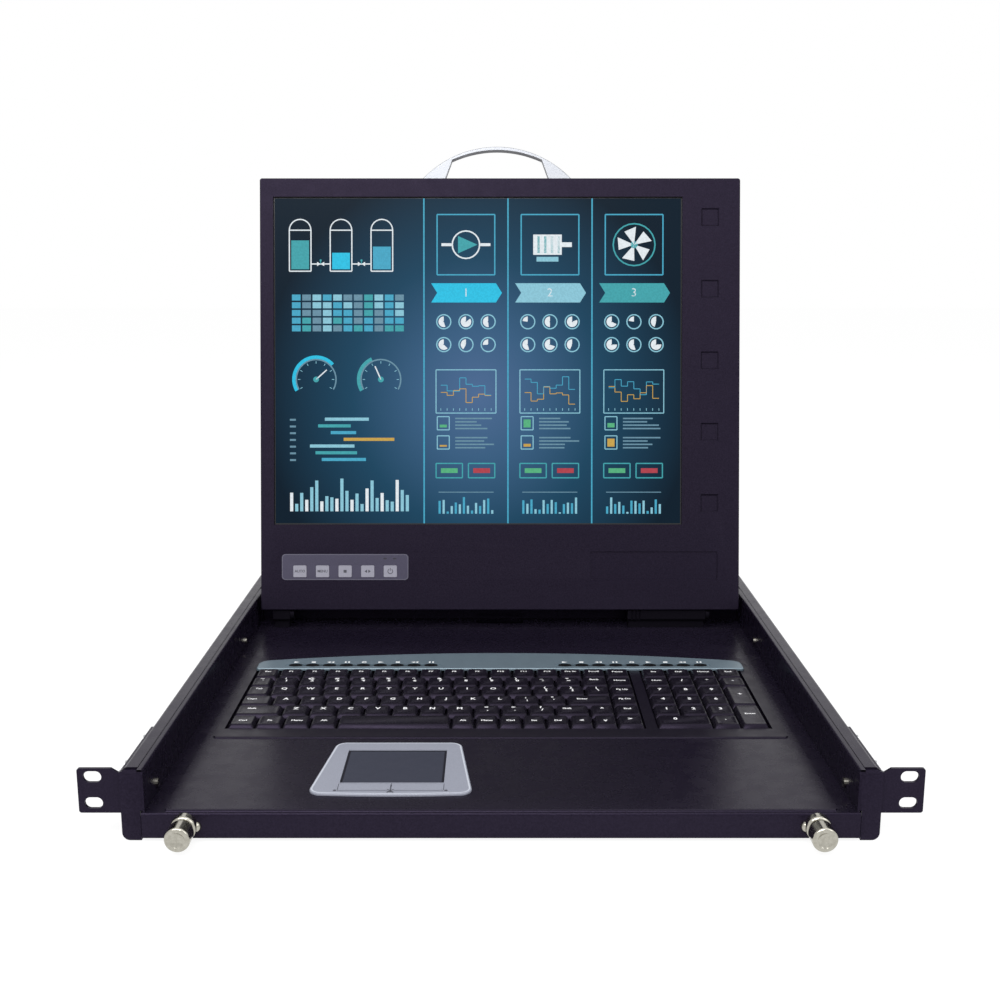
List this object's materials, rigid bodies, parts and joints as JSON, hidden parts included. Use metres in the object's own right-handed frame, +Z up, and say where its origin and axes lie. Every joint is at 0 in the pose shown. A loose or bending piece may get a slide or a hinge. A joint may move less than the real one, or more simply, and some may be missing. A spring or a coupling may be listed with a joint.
{
  "type": "rackmount LCD console drawer",
  "caption": "One-unit rack drawer that carries a full-size keyboard, a touchpad and a folding flat display on ball-bearing slides.",
  "frame": {"origin": "centre of the four front rack slots, on the front face of the rack ears", "axes": "+X to the user's right, +Y to the rear of the rack, +Z up"},
  "size_m": [0.4826, 0.6612, 0.4128],
  "materials": {
    "black_powder_coat": "satin, fine texture",
    "black_moulding": "matt, fine grain",
    "key_plastic": "satin",
    "silver_blue_moulding": "satin metallic paint",
    "silver_grey_moulding": "satin metallic paint",
    "touchpad_surface": "matt",
    "button_grey": "satin",
    "keypad_grey": "satin",
    "zinc_steel": "bright zinc plate",
    "nickel": "bright nickel plate",
    "handle_chrome": "satin chrome",
    "display_glass": "gloss",
    "circuit_board": "solder mask",
    "hinge_black": "satin"
  },
  "bodies": {
    "chassis": {"side_rail_left": "black_powder_coat", "side_rail_right": "black_powder_coat", "ear_bracket_left": "black_powder_coat", "ear_bracket_right": "black_powder_coat", "slide_outer_left": "zinc_steel", "slide_outer_right": "zinc_steel", "chassis_screws": "zinc_steel", "rear_housing_pan": "black_powder_coat", "rear_housing_lid": "black_powder_coat", "interface_board": "circuit_board"},
    "rear_bracket_left": {"rear_bracket_left": "black_powder_coat"},
    "rear_bracket_right": {"rear_bracket_right": "black_powder_coat"},
    "slide_middle_left": {"slide_middle_left": "zinc_steel"},
    "slide_middle_right": {"slide_middle_right": "zinc_steel"},
    "ball_cages_outer": {"ball_cages_outer": "zinc_steel"},
    "ball_cages_inner": {"ball_cages_inner": "zinc_steel"},
    "tray": {"tray_pan": "black_powder_coat", "deck_plate": "black_powder_coat", "bottom_cover": "black_powder_coat", "controller_board": "circuit_board", "tray_fasteners": "nickel", "slide_inner_left": "zinc_steel", "slide_inner_right": "zinc_steel", "keyboard_base": "black_moulding", "keyboard_frame": "black_moulding", "media_strip": "silver_blue_moulding", "touchpad_bezel": "silver_grey_moulding", "touchpad_pad": "touchpad_surface", "hinge_housing_left": "hinge_black", "hinge_housing_right": "hinge_black"},
    "display": {"lcd_bezel": "black_powder_coat", "lcd_cell": "display_glass", "backlight_module": "zinc_steel", "lcd_back_cover": "black_powder_coat", "lcd_driver_board": "circuit_board", "osd_keypad": "keypad_grey", "hinge_arms": "zinc_steel", "lift_handle": "handle_chrome"},
    "lock_ring_left": {"lock_ring_left": "zinc_steel"},
    "lock_ring_right": {"lock_ring_right": "zinc_steel"},
    "lock_knob_left": {"lock_knob_left": "nickel"},
    "lock_knob_right": {"lock_knob_right": "nickel"},
    "keys_bottom_row": {"keys_bottom_row": "key_plastic"},
    "keys_lower_row": {"keys_lower_row": "key_plastic"},
    "keys_home_row": {"keys_home_row": "key_plastic"},
    "keys_upper_row": {"keys_upper_row": "key_plastic"},
    "keys_number_row": {"keys_number_row": "key_plastic"},
    "keys_function_row": {"keys_function_row": "key_plastic"},
    "space_bar": {"space_bar": "key_plastic"},
    "keys_navigation": {"keys_navigation": "key_plastic"},
    "keys_numpad": {"keys_numpad": "key_plastic"},
    "media_buttons_left": {"media_buttons_left": "key_plastic"},
    "media_buttons_right": {"media_buttons_right": "key_plastic"},
    "touchpad_button_left": {"touchpad_button_left": "silver_grey_moulding"},
    "touchpad_button_right": {"touchpad_button_right": "silver_grey_moulding"},
    "osd_button_1": {"osd_button_1": "button_grey"},
    "osd_button_2": {"osd_button_2": "button_grey"},
    "osd_button_3": {"osd_button_3": "button_grey"},
    "osd_button_4": {"osd_button_4": "button_grey"},
    "osd_button_5": {"osd_button_5": "button_grey"}
  },
  "joints": [
    {"name": "tray_slide", "type": "slide", "parent": "chassis", "child": "tray", "axis": [0, -1, 0], "range_m": [0, 0.43]},
    {"name": "slide_middle_left_travel", "type": "slide", "parent": "chassis", "child": "slide_middle_left", "axis": [0, -1, 0], "range_m": [0, 0.2155]},
    {"name": "slide_middle_right_travel", "type": "slide", "parent": "chassis", "child": "slide_middle_right", "axis": [0, -1, 0], "range_m": [0, 0.2155]},
    {"name": "ball_cages_outer_travel", "type": "slide", "parent": "chassis", "child": "ball_cages_outer", "axis": [0, -1, 0], "range_m": [0, 0.108]},
    {"name": "ball_cages_inner_travel", "type": "slide", "parent": "chassis", "child": "ball_cages_inner", "axis": [0, -1, 0], "range_m": [0, 0.323]},
    {"name": "display_hinge", "type": "hinge", "parent": "tray", "child": "display", "pos_m": [0, 0.3592, -0.00055], "axis": [1, 0, 0], "range_deg": [-14, 101]},
    {"name": "rear_bracket_left_adjust", "type": "slide", "parent": "chassis", "child": "rear_bracket_left", "axis": [0, 1, 0], "range_m": [-0.02, 0.02]},
    {"name": "rear_bracket_right_adjust", "type": "slide", "parent": "chassis", "child": "rear_bracket_right", "axis": [0, 1, 0], "range_m": [-0.02, 0.02]},
    {"name": "lock_left_travel", "type": "slide", "parent": "tray", "child": "lock_ring_left", "axis": [0, -1, 0], "range_m": [0, 0.0035]},
    {"name": "lock_left_spin", "type": "hinge", "parent": "lock_ring_left", "child": "lock_knob_left", "pos_m": [-0.1805, -0.01, -0.0202], "axis": [0, -1, 0], "range_deg": [0, 1810]},
    {"name": "lock_right_travel", "type": "slide", "parent": "tray", "child": "lock_ring_right", "axis": [0, -1, 0], "range_m": [0, 0.0035]},
    {"name": "lock_right_spin", "type": "hinge", "parent": "lock_ring_right", "child": "lock_knob_right", "pos_m": [0.1805, -0.01, -0.0202], "axis": [0, -1, 0], "range_deg": [0, 1810]},
    {"name": "keys_bottom_row_press", "type": "slide", "parent": "tray", "child": "keys_bottom_row", "axis": [0, 0, -1], "range_m": [0, 0.002], "stiffness_N_per_m": 1500, "springref_m": -0.001},
    {"name": "keys_lower_row_press", "type": "slide", "parent": "tray", "child": "keys_lower_row", "axis": [0, 0, -1], "range_m": [0, 0.002], "stiffness_N_per_m": 1500, "springref_m": -0.001},
    {"name": "keys_home_row_press", "type": "slide", "parent": "tray", "child": "keys_home_row", "axis": [0, 0, -1], "range_m": [0, 0.002], "stiffness_N_per_m": 1500, "springref_m": -0.001},
    {"name": "keys_upper_row_press", "type": "slide", "parent": "tray", "child": "keys_upper_row", "axis": [0, 0, -1], "range_m": [0, 0.002], "stiffness_N_per_m": 1500, "springref_m": -0.001},
    {"name": "keys_number_row_press", "type": "slide", "parent": "tray", "child": "keys_number_row", "axis": [0, 0, -1], "range_m": [0, 0.002], "stiffness_N_per_m": 1500, "springref_m": -0.001},
    {"name": "keys_function_row_press", "type": "slide", "parent": "tray", "child": "keys_function_row", "axis": [0, 0, -1], "range_m": [0, 0.002], "stiffness_N_per_m": 1500, "springref_m": -0.001},
    {"name": "keys_navigation_press", "type": "slide", "parent": "tray", "child": "keys_navigation", "axis": [0, 0, -1], "range_m": [0, 0.002], "stiffness_N_per_m": 1500, "springref_m": -0.001},
    {"name": "keys_numpad_press", "type": "slide", "parent": "tray", "child": "keys_numpad", "axis": [0, 0, -1], "range_m": [0, 0.002], "stiffness_N_per_m": 1500, "springref_m": -0.001},
    {"name": "space_bar_press", "type": "slide", "parent": "tray", "child": "space_bar", "axis": [0, 0, -1], "range_m": [0, 0.002], "stiffness_N_per_m": 500, "springref_m": -0.001},
    {"name": "media_buttons_left_press", "type": "slide", "parent": "tray", "child": "media_buttons_left", "axis": [0, 0, -1], "range_m": [0, 0.0005], "stiffness_N_per_m": 2000, "springref_m": -0.0005},
    {"name": "touchpad_button_left_press", "type": "slide", "parent": "tray", "child": "touchpad_button_left", "axis": [0, 0, -1], "range_m": [0, 0.0005], "stiffness_N_per_m": 1500, "springref_m": -0.0005},
    {"name": "media_buttons_right_press", "type": "slide", "parent": "tray", "child": "media_buttons_right", "axis": [0, 0, -1], "range_m": [0, 0.0005], "stiffness_N_per_m": 2000, "springref_m": -0.0005},
    {"name": "touchpad_button_right_press", "type": "slide", "parent": "tray", "child": "touchpad_button_right", "axis": [0, 0, -1], "range_m": [0, 0.0005], "stiffness_N_per_m": 1500, "springref_m": -0.0005},
    {"name": "osd_button_1_press", "type": "slide", "parent": "display", "child": "osd_button_1", "axis": [0, 0.9816, -0.1908], "range_m": [0, 0.0004], "stiffness_N_per_m": 1500, "springref_m": -0.0005},
    {"name": "osd_button_2_press", "type": "slide", "parent": "display", "child": "osd_button_2", "axis": [0, 0.9816, -0.1908], "range_m": [0, 0.0004], "stiffness_N_per_m": 1500, "springref_m": -0.0005},
    {"name": "osd_button_3_press", "type": "slide", "parent": "display", "child": "osd_button_3", "axis": [0, 0.9816, -0.1908], "range_m": [0, 0.0004], "stiffness_N_per_m": 1500, "springref_m": -0.0005},
    {"name": "osd_button_4_press", "type": "slide", "parent": "display", "child": "osd_button_4", "axis": [0, 0.9816, -0.1908], "range_m": [0, 0.0004], "stiffness_N_per_m": 1500, "springref_m": -0.0005},
    {"name": "osd_button_5_press", "type": "slide", "parent": "display", "child": "osd_button_5", "axis": [0, 0.9816, -0.1908], "range_m": [0, 0.0004], "stiffness_N_per_m": 1500, "springref_m": -0.0005}
  ],
  "couplings": [
    {"joint": "slide_middle_left_travel", "follows": "tray_slide", "ratio": 0.5},
    {"joint": "slide_middle_right_travel", "follows": "tray_slide", "ratio": 0.5},
    {"joint": "ball_cages_outer_travel", "follows": "tray_slide", "ratio": 0.25},
    {"joint": "ball_cages_inner_travel", "follows": "tray_slide", "ratio": 0.75},
    {"joint": "lock_left_spin", "follows": "lock_left_travel", "rad_per_m": 8976},
    {"joint": "lock_right_spin", "follows": "lock_right_travel", "rad_per_m": 8976}
  ]
}
